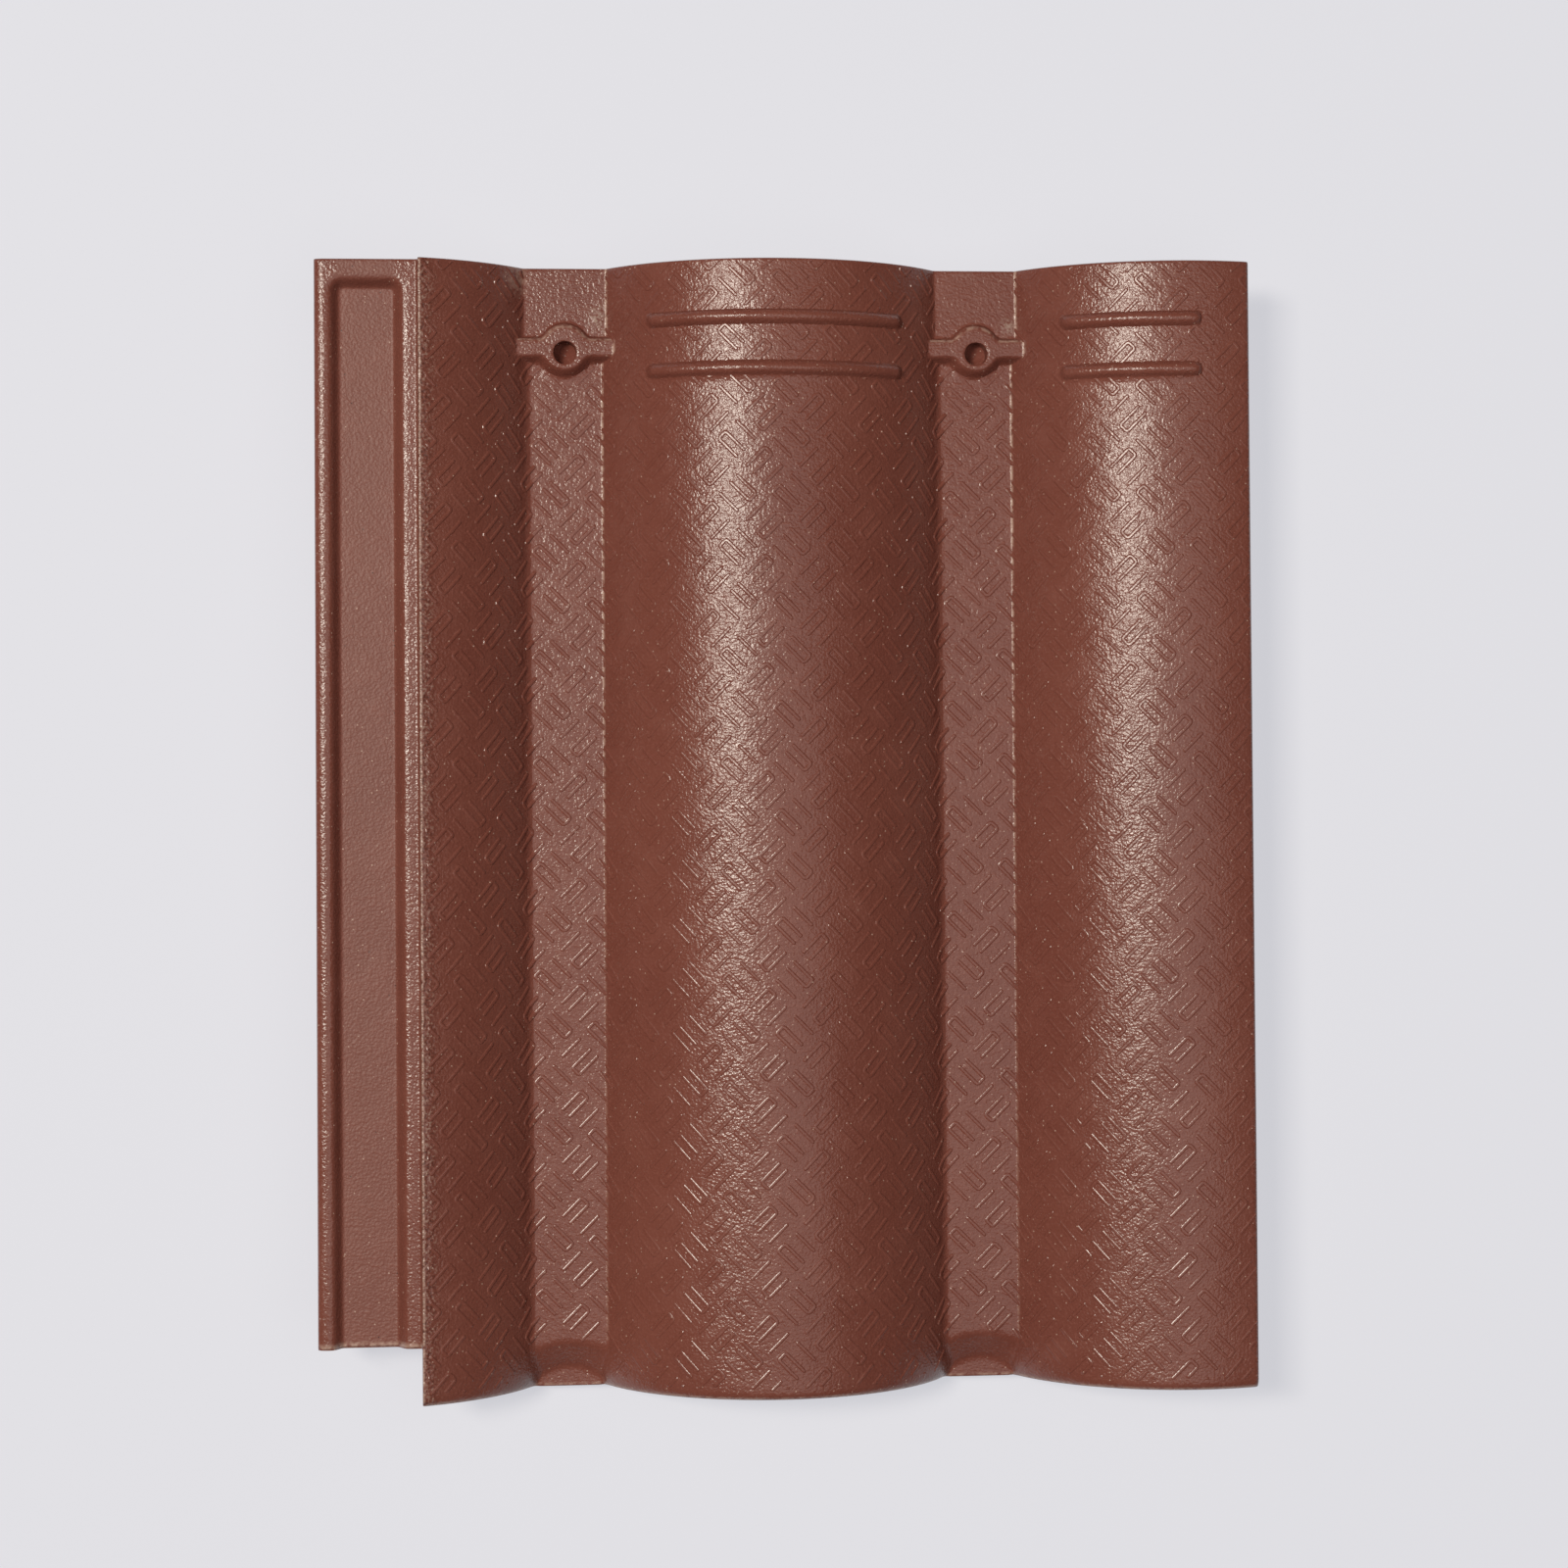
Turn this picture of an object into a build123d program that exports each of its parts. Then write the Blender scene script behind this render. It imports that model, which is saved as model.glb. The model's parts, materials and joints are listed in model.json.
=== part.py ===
"""Profiled interlocking roof tile, pressed and fired as one piece.

X runs across the tile, Y along it from the tail to the head, Z up out of the weather face.
The tile lies level on its two noses and two nibs, and the origin is under its middle.
"""

import os
from math import asin, atan, cos, degrees, radians, sin, sqrt

from build123d import *

os.makedirs("parts", exist_ok=True)

# Rolls and pans
tile_length = 420.0
roll_pitch = 155.5
roll_height = 33.5
pan_width = 28.0
wall = 10.5
soft_foot_round = 5.0
crisp_foot_round = 1.2

# Right edge, which laps over the lock of the next tile
lap_reach = 21.8
side_gap = 1.6
lap_clearance = 1.0
lap_edge_round = 1.6
rib_width = 9.0
rib_clearance = 1.2

# Side lock, the channelled strip along the left edge
lock_width = 38.0
lock_step = 5.5
lock_notch = 20.5
lock_wall = 7.5
lock_rim = 5.9
lock_shoulder = 6.1
lock_head_land = 7.3
channel_depth = 5.0
channel_wall_run = 3.0
channel_corner = 4.4
channel_floor_round = 1.6
channel_edge_round = 0.8
rim_round = 2.2
shoulder_round = 1.2
body_edge_round = 0.9

# Turned-down noses at the tail of the pans, drawn in at the waist and flared at the mouth
nose_run = 20.0
nose_foot = 7.6
nose_drop = 7.4
nose_waist = 21.0
nose_mouth = 26.0
nose_wall = 13.0
nose_slope_shares = [0, 0.25, 0.5, 0.75, 1]
tail_round = 3.2
tail_round_angles = [0, 30, 60, 90]

# Nail bosses with their cross bars, near the head of the pans
nail_from_head = 32.0
nail_hole = 8.8
nail_depth = 7.0
nail_point = 3.4
nail_tip = 2.4
boss_height = 5.5
boss_top = 16.6
boss_base = 21.8
boss_offset = 1.8
bar_top = 6.2
bar_base = 10.6
neck_round = 2.0
boss_edge_round = 0.8
pad_height = 2.2

# Weather bars, two across each roll
weather_bar_width = 5.2
first_bar_from_head = 21.6
weather_bar_spacing = 19.0
weather_bar_reach = 47.8
right_bar_reach = 3.0

# Batten nibs under the head of the pans
nib_width = 26.0
nib_root = 13.0
nib_tip = 9.0
batten_from_head = 18.0

# Distance by which cuts pass through a face
overrun = 5.0

# Levels, counted from the floor
pan_level = nose_drop + nose_wall
nose_level = pan_level - nose_drop
crown_level = pan_level + roll_height
pan_underside = pan_level - wall

# Places across and along the tile
body_width = 2 * roll_pitch - side_gap
tile_width = lock_width + body_width
left_edge = -tile_width / 2
body_left = left_edge + lock_width
next_reach = lap_reach + side_gap
lapped_crown = body_left - next_reach
crowns = [lapped_crown + roll_pitch, lapped_crown + 2 * roll_pitch]
right_edge = crowns[1] + lap_reach
pans = [crown - roll_pitch / 2 for crown in crowns]
head = tile_length / 2
tail = -head
notch_end = tail + lock_notch
nail_line = head - nail_from_head
batten_line = head - batten_from_head


class Roll:
    """Round section of a roll that springs from a pan floor at a given level and width."""

    def __init__(self, floor, floor_width, floor_wall):
        self.floor = floor
        self.under = floor - floor_wall
        self.foot = (roll_pitch - floor_width) / 2
        rise = crown_level - floor
        self.radius = (self.foot**2 + rise**2) / (2 * rise)
        self.centre = crown_level - self.radius
        self.inner_foot = self.away(self.under, wall)

    def level(self, away, depth=0):
        """Level of the surface, or of a layer at a depth under it, at a distance from the crown."""
        return self.centre + sqrt((self.radius - depth) ** 2 - away**2)

    def away(self, level, depth=0):
        """Distance from the crown at which that layer reaches a level."""
        return sqrt((self.radius - depth) ** 2 - (level - self.centre) ** 2)


pan_roll = Roll(pan_level, pan_width, wall)

body_edge_level = pan_roll.level(next_reach)
land_level = body_edge_level - lock_step
channel_level = land_level - channel_depth
lock_underside = channel_level - lock_wall
lap_level = land_level + lap_clearance
lap_start = next_reach - lap_clearance - lock_width
lock_root = pan_roll.away(lock_underside, wall / 2)
channel_left = left_edge + lock_rim
channel_right = body_left - lock_shoulder
channel_head = head - lock_head_land
channel_middle = (channel_left + channel_right) / 2
channel_taper = degrees(atan(channel_wall_run / channel_depth))
boss_level = pan_level + boss_height
boss_line = nail_line + boss_offset
cross_reach = (pan_width + wall) / 2


def across(station):
    """Upright plane across the tile at a place along it."""
    return Plane.XZ.offset(-station)


def body_section(station, roll, eased=0):
    """Section of the half roll, the two pans, the full roll and the lapping roll.

    At the rounded tail the weather face is eased down towards an underside that stays.
    """
    floor = roll.floor - eased
    crown_top = crown_level - eased
    left_top = (body_left, roll.level(next_reach) - eased)
    right_top = (right_edge, roll.level(lap_reach) - eased)
    half_way = (next_reach + roll.foot) / 2
    under_half_way = (next_reach + roll.inner_foot) / 2
    lap_half_way = (lap_start - roll.inner_foot) / 2
    with BuildSketch(across(station)) as section:
        with BuildLine():
            # weather face, from the left edge to the right one
            ThreePointArc(
                left_top,
                (lapped_crown + half_way, roll.level(half_way) - eased),
                (lapped_crown + roll.foot, floor),
            )
            Line((lapped_crown + roll.foot, floor), (crowns[0] - roll.foot, floor))
            ThreePointArc(
                (crowns[0] - roll.foot, floor),
                (crowns[0], crown_top),
                (crowns[0] + roll.foot, floor),
            )
            Line((crowns[0] + roll.foot, floor), (crowns[1] - roll.foot, floor))
            ThreePointArc((crowns[1] - roll.foot, floor), (crowns[1], crown_top), right_top)
            # thinner lap over the next tile's lock
            Polyline(
                right_top,
                (right_edge, lap_level),
                (crowns[1] + lap_start, lap_level),
                (crowns[1] + lap_start, roll.level(lap_start, wall)),
            )
            # underside, from the right edge back to the left one
            ThreePointArc(
                (crowns[1] + lap_start, roll.level(lap_start, wall)),
                (crowns[1] + lap_half_way, roll.level(lap_half_way, wall)),
                (crowns[1] - roll.inner_foot, roll.under),
            )
            Line((crowns[1] - roll.inner_foot, roll.under), (crowns[0] + roll.inner_foot, roll.under))
            ThreePointArc(
                (crowns[0] + roll.inner_foot, roll.under),
                (crowns[0], crown_level - wall),
                (crowns[0] - roll.inner_foot, roll.under),
            )
            Line((crowns[0] - roll.inner_foot, roll.under), (lapped_crown + roll.inner_foot, roll.under))
            ThreePointArc(
                (lapped_crown + roll.inner_foot, roll.under),
                (lapped_crown + under_half_way, roll.level(under_half_way, wall)),
                (body_left, roll.level(next_reach, wall)),
            )
            Line((body_left, roll.level(next_reach, wall)), left_top)
        make_face()
        # a soft foot on the left of each pan, a crisp one on its right, and eased outer edges
        rounds = [
            (lapped_crown + roll.foot, floor, soft_foot_round),
            (crowns[0] - roll.foot, floor, crisp_foot_round),
            (crowns[0] + roll.foot, floor, soft_foot_round),
            (crowns[1] - roll.foot, floor, crisp_foot_round),
            (*left_top, body_edge_round),
            (*right_top, lap_edge_round),
        ]
        for x, level, radius in rounds:
            fillet(section.vertices().sort_by_distance((x, level))[0], radius)
    return section.sketch


with BuildPart() as roof_tile:
    # Rolls and pans
    extrude(body_section(head, pan_roll), amount=tile_length - nose_run)

    # Noses, where the pans turn down in a soft curve and draw in, and then flare to the rounded tail
    nose_sections = []
    for share in nose_slope_shares:
        turned = share**2 * (3 - 2 * share)
        floor_width = pan_width + turned * (nose_waist - pan_width)
        roll = Roll(pan_level - turned * nose_drop, floor_width, wall + turned * (nose_wall - wall))
        nose_sections.append(body_section(tail + nose_run - share * (nose_run - nose_foot), roll))
    for angle in tail_round_angles:
        inset = tail_round * (1 - sin(radians(angle)))
        floor_width = nose_mouth + (nose_waist - nose_mouth) * inset / nose_foot
        roll = Roll(nose_level, floor_width, nose_wall)
        nose_sections.append(body_section(tail + inset, roll, tail_round * (1 - cos(radians(angle)))))
    loft(nose_sections, ruled=True)

    # Side lock, a strip along the left edge that roots in the wall of the half roll
    with BuildSketch(across(head)) as lock_section:
        with BuildLine():
            Polyline(
                (left_edge, lock_underside),
                (left_edge, land_level),
                (body_left + wall / 2, land_level),
                (lapped_crown + lock_root, lock_underside),
                close=True,
            )
        make_face()
        fillet(lock_section.vertices().sort_by_distance((left_edge, land_level))[0], rim_round)
    extrude(amount=tile_length - lock_notch)

    # Water channel of the lock, closed at the head and open at the tail
    with BuildSketch(Plane.XY.offset(land_level)) as channel:
        with Locations((channel_middle, (channel_head + tail) / 2)):
            Rectangle(channel_right - channel_left, channel_head - tail)
        fillet(channel.vertices(), channel_corner)
    extrude(amount=channel_depth, dir=(0, 0, -1), taper=channel_taper, mode=Mode.SUBTRACT)

    # Rounds of the lock: the channel's floor, the foot of the body's edge and the channel's upper edges
    channel_floor = roof_tile.faces().sort_by_distance((channel_middle, 0, channel_level))[0]
    fillet(channel_floor.edges().sort_by(Axis.Y)[1:], channel_floor_round)
    on_land = (body_left - lock_shoulder / 2, 0, land_level)
    land = roof_tile.faces().sort_by_distance(on_land)[0]
    fillet(land.edges().sort_by(Axis.X)[-1], shoulder_round)
    land = roof_tile.faces().sort_by_distance(on_land)[0]
    past_rim = channel_left - lock_rim / 2
    inner = land.edges().filter_by_position(Axis.X, past_rim, channel_right + lock_shoulder / 2)
    fillet(inner.filter_by_position(Axis.Y, tail / 2, channel_head + lock_head_land / 2), channel_edge_round)

    # Rib under the lap, which hangs in the channel of the next tile
    rib_middle = channel_middle + 2 * roll_pitch
    rib_level = channel_level + rib_clearance
    rib_head = channel_head - channel_wall_run - rib_clearance
    rib_spread = (lap_level - rib_level) * channel_wall_run / channel_depth
    with BuildSketch(across(rib_head)):
        with BuildLine():
            Polyline(
                (rib_middle - rib_width / 2, rib_level),
                (rib_middle + rib_width / 2, rib_level),
                (rib_middle + rib_width / 2 + rib_spread, lap_level),
                (rib_middle + rib_width / 2 + rib_spread, lap_level + lap_clearance),
                (rib_middle - rib_width / 2 - rib_spread, lap_level + lap_clearance),
                (rib_middle - rib_width / 2 - rib_spread, lap_level),
                close=True,
            )
        make_face()
    extrude(amount=rib_head - tail)

    for pan in pans:
        # Plain pad at the head of the pan
        with BuildSketch(across(head)):
            with Locations((pan, pan_level)):
                Rectangle(2 * cross_reach, 2 * pad_height)
        extrude(amount=nail_from_head)

        # Cross bar from flank to flank
        with BuildSketch(Plane.YZ.offset(pan - cross_reach)):
            with BuildLine():
                Polyline(
                    (boss_line - bar_base / 2, pan_level),
                    (boss_line + bar_base / 2, pan_level),
                    (boss_line + bar_top / 2, boss_level),
                    (boss_line - bar_top / 2, boss_level),
                    close=True,
                )
            make_face()
        extrude(amount=2 * cross_reach)

        # Round boss on the bar, with rounded necks and top edges
        with Locations((pan, boss_line, (pan_level + boss_level) / 2)):
            Cone(boss_base / 2, boss_top / 2, boss_height)
        neck_side = (bar_top + bar_base) / 4
        neck_reach = sqrt(((boss_top + boss_base) / 4) ** 2 - neck_side**2)
        necks = []
        for side in [-neck_reach, neck_reach]:
            for end in [-neck_side, neck_side]:
                place = (pan + side, boss_line + end, (pan_level + boss_level) / 2)
                necks.append(roof_tile.edges().sort_by_distance(place)[0])
        fillet(necks, neck_round)
        boss_face = roof_tile.faces().sort_by_distance((pan, boss_line, boss_level))[0]
        fillet(boss_face.edges().sort_by(Axis.X)[1:-1], boss_edge_round)

        # Blind nail hole in the boss
        with BuildSketch(across(nail_line)):
            with BuildLine():
                Polyline(
                    (pan, boss_level + overrun),
                    (pan + nail_hole / 2, boss_level + overrun),
                    (pan + nail_hole / 2, boss_level - nail_depth),
                    (pan + nail_tip / 2, boss_level - nail_depth - nail_point),
                    (pan, boss_level - nail_depth - nail_point),
                    close=True,
                )
            make_face()
        revolve(axis=Axis((pan, nail_line, 0), (0, 0, 1)), mode=Mode.SUBTRACT)

        # Batten nib under the head of the pan, upright where it bears on the batten
        with BuildSketch(Plane.YZ.offset(pan - nib_width / 2)):
            with BuildLine():
                Polyline(
                    (batten_line, pan_underside),
                    (batten_line, 0),
                    (batten_line + nib_tip, 0),
                    (batten_line + nib_root, pan_underside),
                    close=True,
                )
            make_face()
        extrude(amount=nib_width)

    # Weather bars, round beads that follow the rolls, with round ends
    bead = weather_bar_width / 2
    right_ends = [weather_bar_reach, right_bar_reach]
    for crown, right_end in zip(crowns, right_ends):
        first = -degrees(asin((weather_bar_reach - bead) / pan_roll.radius))
        last = degrees(asin((right_end - bead) / pan_roll.radius))
        for from_head in [first_bar_from_head, first_bar_from_head + weather_bar_spacing]:
            hub = (crown, head - from_head, pan_roll.centre)
            lean = radians(first)
            with BuildSketch(Plane(origin=hub, x_dir=(0, 1, 0), z_dir=(cos(lean), 0, -sin(lean)))):
                with Locations((0, pan_roll.radius)):
                    Circle(bead)
            revolve(axis=Axis(hub, (0, 1, 0)), revolution_arc=last - first)
            for end in [first, last]:
                away = pan_roll.radius * sin(radians(end))
                with Locations((crown + away, head - from_head, pan_roll.level(away))):
                    Sphere(bead)

roof_tile.part.label = "roof_tile"
export_step(roof_tile.part, "parts/roof_tile.step")
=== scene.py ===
# %% [markdown]
# # A pressed clay roof tile
#
# The real object is one slab of clay, pressed between two moulds, fired, and coated in a satin brown-red.
# It has rolls and pans along its length, a channelled side lock, two nail bosses, weather bars near the head
# and turned-down noses at the tail. Fine raised strokes in a basket weave cover its weather face.
# This lesson makes the slab as one closed mesh from its section, lays the strokes on it with Geometry Nodes,
# gives both the same fired coat, and lights them on a pale floor.

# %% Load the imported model
import json
import math

import bpy
import numpy as np
from mathutils import Matrix, Vector

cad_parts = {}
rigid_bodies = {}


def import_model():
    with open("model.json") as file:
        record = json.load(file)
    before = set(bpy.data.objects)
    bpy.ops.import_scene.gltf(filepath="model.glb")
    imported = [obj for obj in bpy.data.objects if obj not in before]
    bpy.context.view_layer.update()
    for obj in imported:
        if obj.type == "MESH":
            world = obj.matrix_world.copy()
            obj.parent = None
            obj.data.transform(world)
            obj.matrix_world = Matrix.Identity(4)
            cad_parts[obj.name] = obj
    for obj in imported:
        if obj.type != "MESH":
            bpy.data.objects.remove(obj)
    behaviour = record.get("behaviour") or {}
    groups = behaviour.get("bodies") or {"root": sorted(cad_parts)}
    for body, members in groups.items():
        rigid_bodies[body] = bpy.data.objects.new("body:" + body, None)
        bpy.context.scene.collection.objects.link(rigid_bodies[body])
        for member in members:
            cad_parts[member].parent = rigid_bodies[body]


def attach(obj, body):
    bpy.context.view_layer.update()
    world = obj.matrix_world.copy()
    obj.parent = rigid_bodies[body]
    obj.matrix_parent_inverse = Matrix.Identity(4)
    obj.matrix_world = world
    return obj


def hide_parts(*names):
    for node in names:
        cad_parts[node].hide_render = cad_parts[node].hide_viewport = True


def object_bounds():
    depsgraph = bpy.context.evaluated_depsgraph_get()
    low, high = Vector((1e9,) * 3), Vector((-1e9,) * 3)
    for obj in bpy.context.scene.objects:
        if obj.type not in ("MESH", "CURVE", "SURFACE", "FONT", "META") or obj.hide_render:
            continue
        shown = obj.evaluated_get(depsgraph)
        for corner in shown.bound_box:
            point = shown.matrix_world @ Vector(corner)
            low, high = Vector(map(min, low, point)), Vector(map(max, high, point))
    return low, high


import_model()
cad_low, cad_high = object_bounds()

print("CAD box in mm:", [round(1000 * (b - a), 1) for a, b in zip(cad_low, cad_high)])

# %% [markdown]
# ## The section that the press gives the tile
#
# Every roll is an arc that springs from the flat pan floors on both sides. So the weather face can be written
# as a height above the floor for any place across and along the tile. That rule is easier to smooth and to
# refine than a mesh of triangles, and the underside follows it at the thickness of the wall.

# %% Rolls and pans
MM = 0.001
left_edge, tail = cad_low.x, cad_low.y
right_edge, head = cad_high.x, cad_high.y

roll_pitch = 155.5 * MM
roll_height = 33.5 * MM
pan_width = 28.0 * MM
wall = 10.5 * MM
soft_foot = 2.4 * MM
crisp_foot = 0.5 * MM
lap_reach = 21.8 * MM
side_gap = 1.6 * MM

nose_drop = 7.4 * MM
nose_wall = 13.0 * MM
pan_level = nose_drop + nose_wall
crown_level = pan_level + roll_height

lock_width = 38.0 * MM
body_left = left_edge + lock_width
next_reach = lap_reach + side_gap
lapped_crown = body_left - next_reach
crowns = [lapped_crown + i * roll_pitch for i in range(3)]
pans = [crown - roll_pitch / 2 for crown in crowns[1:]]
print("crowns in mm:", [round(c / MM, 1) for c in crowns], "pans in mm:", [round(p / MM, 1) for p in pans])


def ramp(start, end, place):
    """Smooth step from 0 at start to 1 at end."""
    t = np.clip((place - start) / (end - start), 0, 1)
    return t * t * (3 - 2 * t)


def soft_max(a, b, blend):
    """The higher of two levels, with the corner between them rounded over a blend of height."""
    t = np.clip(0.5 + 0.5 * (a - b) / blend, 0, 1)
    return b + (a - b) * t + blend * t * (1 - t)


def soft_min(a, b, blend):
    """The lower of two levels, with a rounded corner."""
    return -soft_max(-a, -b, blend)


def edge_drop(inset, run, drop=None):
    """How far an edge that is rounded over a run falls at an inset from it, by a drop or else by the run."""
    t = np.clip(1 - inset / run, 0, 1)
    return (run if drop is None else drop) * (1 - np.sqrt(1 - t**2))


# %% Noses, where the pans turn down at the tail
nose_run = 17.6 * MM
nose_foot = 7.4 * MM
run_arch = 2.8 * MM
foot_arch = 6.0 * MM
nose_soft = 0.14
nose_waist = 21.0 * MM
nose_mouth = 26.0 * MM


def from_pan(x):
    """Distance from the middle of the nearest pan."""
    return np.min([np.abs(x - pan) for pan in pans], axis=0)


def nose_share(x, y):
    """0 on the length of the pan, 1 on the floor of the nose, with arched lines between them."""
    bow = np.clip(from_pan(x) / (pan_width / 2), 0, 1.2) ** 2
    foot, top = tail + nose_foot - foot_arch * bow, tail + nose_run - run_arch * bow
    slope = soft_max((y - foot) / (top - foot), 0, nose_soft)
    return 1 - soft_min(slope, 1, nose_soft)


def floor_level(x, y):
    return pan_level - nose_drop * nose_share(x, y)


def roll_circle(x, y):
    """Radius of the rolls at a place, and the level of their centre line."""
    flare = nose_waist + (nose_mouth - nose_waist) * (1 - ramp(tail, tail + nose_foot, y))
    width = pan_width + (flare - pan_width) * nose_share(x, y)
    foot = (roll_pitch - width) / 2
    rise = crown_level - floor_level(x, y)
    radius = (foot**2 + rise**2) / (2 * rise)
    return radius, crown_level - radius


def roll_level(x, y, crown, depth=0.0):
    """Level of the roll's surface, or of a layer at a depth under it."""
    radius, centre = roll_circle(x, y)
    layer = (radius - depth) ** 2 - (x - crown) ** 2
    return np.where(layer > 0, centre + np.sqrt(np.maximum(layer, 0)), 0)


def plain_face(x, y):
    """Weather face of the rolls and pans, before anything is raised on it."""
    level = floor_level(x, y)
    for crown in crowns:
        blend = np.where(x < crown, crisp_foot, soft_foot)
        level = soft_max(roll_level(x, y, crown), level, blend)
    return level


pan_radius, pan_centre = (float(v) for v in roll_circle(np.float64(pans[0]), np.float64(0)))
print("roll radius in mm:", round(pan_radius / MM, 2))

# %% [markdown]
# ## Lock, bosses, bars and edges
#
# The side lock is the strip that the next tile laps over: a rounded rim, a water channel and a shoulder.
# Each pan carries a cross bar with a round nail boss, and each roll two beads that keep driven rain out.
# They are levels too, and the soft maximum joins them to the face with the small fillets of a moulded thing.

# %% Side lock
lock_step = 5.5 * MM
lock_notch = 20.5 * MM
lock_wall = 7.5 * MM
lock_rim = 5.9 * MM
lock_shoulder = 6.1 * MM
lock_head_land = 7.3 * MM
channel_depth = 5.0 * MM
channel_wall_run = 3.0 * MM
channel_corner = 4.4 * MM
rim_round = 2.2 * MM
rim_run = 3.6 * MM
land_sink = 0.45 * MM
land_run = 2.4 * MM
step_fillet = 1.2 * MM

notch_end = tail + lock_notch
body_edge_level = float(roll_level(np.float64(body_left), np.float64(0), lapped_crown))
land_level = body_edge_level - lock_step
channel_left = left_edge + lock_rim
channel_right = body_left - lock_shoulder
channel_head = head - lock_head_land


def lock_face(x, y):
    """Level of the rim, the channel and the shoulder."""
    aside = np.minimum(x - channel_left, channel_right - x)
    ahead = channel_head - y
    corner = np.hypot(channel_corner - aside, channel_corner - ahead)
    in_corner = (aside < channel_corner) & (ahead < channel_corner)
    inset = np.where(in_corner, channel_corner - corner, np.minimum(aside, ahead))
    soft = 0.15 * channel_wall_run
    eased = land_sink * np.clip(1 + np.minimum(inset, 0) / land_run, 0, 1) ** 2
    level = land_level - eased - (channel_depth - land_sink) * ramp(-soft, channel_wall_run + soft, inset)
    return level + edge_drop(body_left - x, step_fillet) - edge_drop(x - left_edge, rim_run, rim_round)


# %% Nail bosses on their cross bars
nail_from_head = 32.0 * MM
nail_hole = 8.8 * MM
nail_depth = 7.0 * MM
nail_point = 3.4 * MM
nail_lip = 0.3 * MM
nail_draft = 0.08 * MM
boss_height = 5.5 * MM
boss_top = 16.6 * MM
boss_base = 21.8 * MM
boss_offset = 1.8 * MM
bar_top = 6.2 * MM
bar_base = 10.6 * MM
boss_neck = 2.0 * MM
boss_edge = 1.8 * MM
pad_height = 2.2 * MM

nail_line = head - nail_from_head
boss_line = nail_line + boss_offset
boss_level = pan_level + boss_height
bore = nail_hole / 2
boss_slope = 2 * boss_height / (boss_base - boss_top)
bar_slope = 2 * boss_height / (bar_base - bar_top)


def boss_flank(x, y, pan):
    """Height of the sloped sides of one boss and its bar, as if they went on past the flat top."""
    boss = boss_slope * (boss_base / 2 - np.hypot(x - pan, y - boss_line))
    bar = bar_slope * (bar_base / 2 - np.abs(y - boss_line))
    return soft_max(boss, bar, boss_neck * boss_slope)


def boss_face(x, y, pan):
    """Level of one boss and its bar, and of the plain pad above them."""
    raised = soft_min(boss_flank(x, y, pan), boss_height, boss_edge)
    pad = pad_height * ramp(nail_line - pad_height, nail_line + pad_height, y)
    return pan_level + np.maximum(raised, pad)


def nail_cut(x, y, pan, level):
    """The blind nail hole: a short eased lip, a straight bore and a pointed floor."""
    out = np.hypot(x - pan, y - nail_line)
    level = level - nail_lip * (1 - ramp(bore - nail_draft, bore + nail_lip, out))
    point = boss_level - nail_depth - nail_point * (1 - np.clip(out / bore, 0, 1))
    return np.where(out < bore - nail_draft / 2, point, level)


# %% Weather bars
weather_bar_width = 5.4 * MM
weather_bar_rise = 2.5 * MM
first_bar_from_head = 21.6 * MM
weather_bar_spacing = 19.0 * MM
weather_bar_reach = 47.8 * MM
right_bar_reach = 3.0 * MM
bar_lines = [head - first_bar_from_head - i * weather_bar_spacing for i in range(2)]
bar_ends = {
    crowns[1]: (-weather_bar_reach, weather_bar_reach),
    crowns[2]: (-weather_bar_reach, right_bar_reach),
}


def weather_bars(x, y):
    """Height that the bars add to the face, on rolls that slope away from their crowns."""
    added = np.zeros_like(x)
    half = weather_bar_width / 2
    for crown, (start, end) in bar_ends.items():
        lean = np.clip((x - crown) / pan_radius, -0.9, 0.9)
        along = pan_radius * np.arcsin(lean)
        first, last = (pan_radius * math.asin(e / pan_radius) for e in (start, end))
        past = along - np.clip(along, first + half, last - half)
        for line in bar_lines:
            q = np.hypot(past, y - line) / half
            bead = weather_bar_rise * np.maximum(1 - q**2, 0) ** 0.7
            added = np.maximum(added, bead / np.sqrt(1 - lean**2))
    return added


# %% The whole weather face
roll_tail_round = 3.2 * MM
nose_tail_round = 0.7 * MM
head_round = 0.8 * MM
body_edge_round = 1.0 * MM
right_edge_round = 1.8 * MM


def weather_face(x, y):
    body = plain_face(x, y)
    for pan in pans:
        near = np.abs(x - pan) < roll_pitch / 4
        joined = soft_max(boss_face(x, y, pan), body, crisp_foot)
        at_head = near & (y > boss_line - boss_base)
        body = np.where(at_head, nail_cut(x, y, pan, joined), body)
    body = body + weather_bars(x, y)
    body = body - edge_drop(x - body_left, body_edge_round) - edge_drop(right_edge - x, right_edge_round)
    on_roll = ramp(nose_waist / 2, nose_mouth / 2 + 3 * MM, from_pan(x))
    body = body - edge_drop(y - tail, nose_tail_round + (roll_tail_round - nose_tail_round) * on_roll)
    lock = lock_face(x, y) - edge_drop(y - notch_end, head_round)
    return np.where(x < body_left, lock, body) - edge_drop(head - y, head_round)


# %% [markdown]
# ## The underside
#
# Underneath, the tile keeps the thickness of its wall. Two nibs hook over the batten, the right-hand edge
# thins to a lap, and a rib under the lap hangs in the channel of the next tile.

# %% Underside levels
lap_clearance = 1.0 * MM
rib_width = 9.0 * MM
rib_clearance = 1.2 * MM
nib_width = 26.0 * MM
nib_root = 13.0 * MM
nib_tip = 9.0 * MM
batten_from_head = 18.0 * MM

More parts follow.
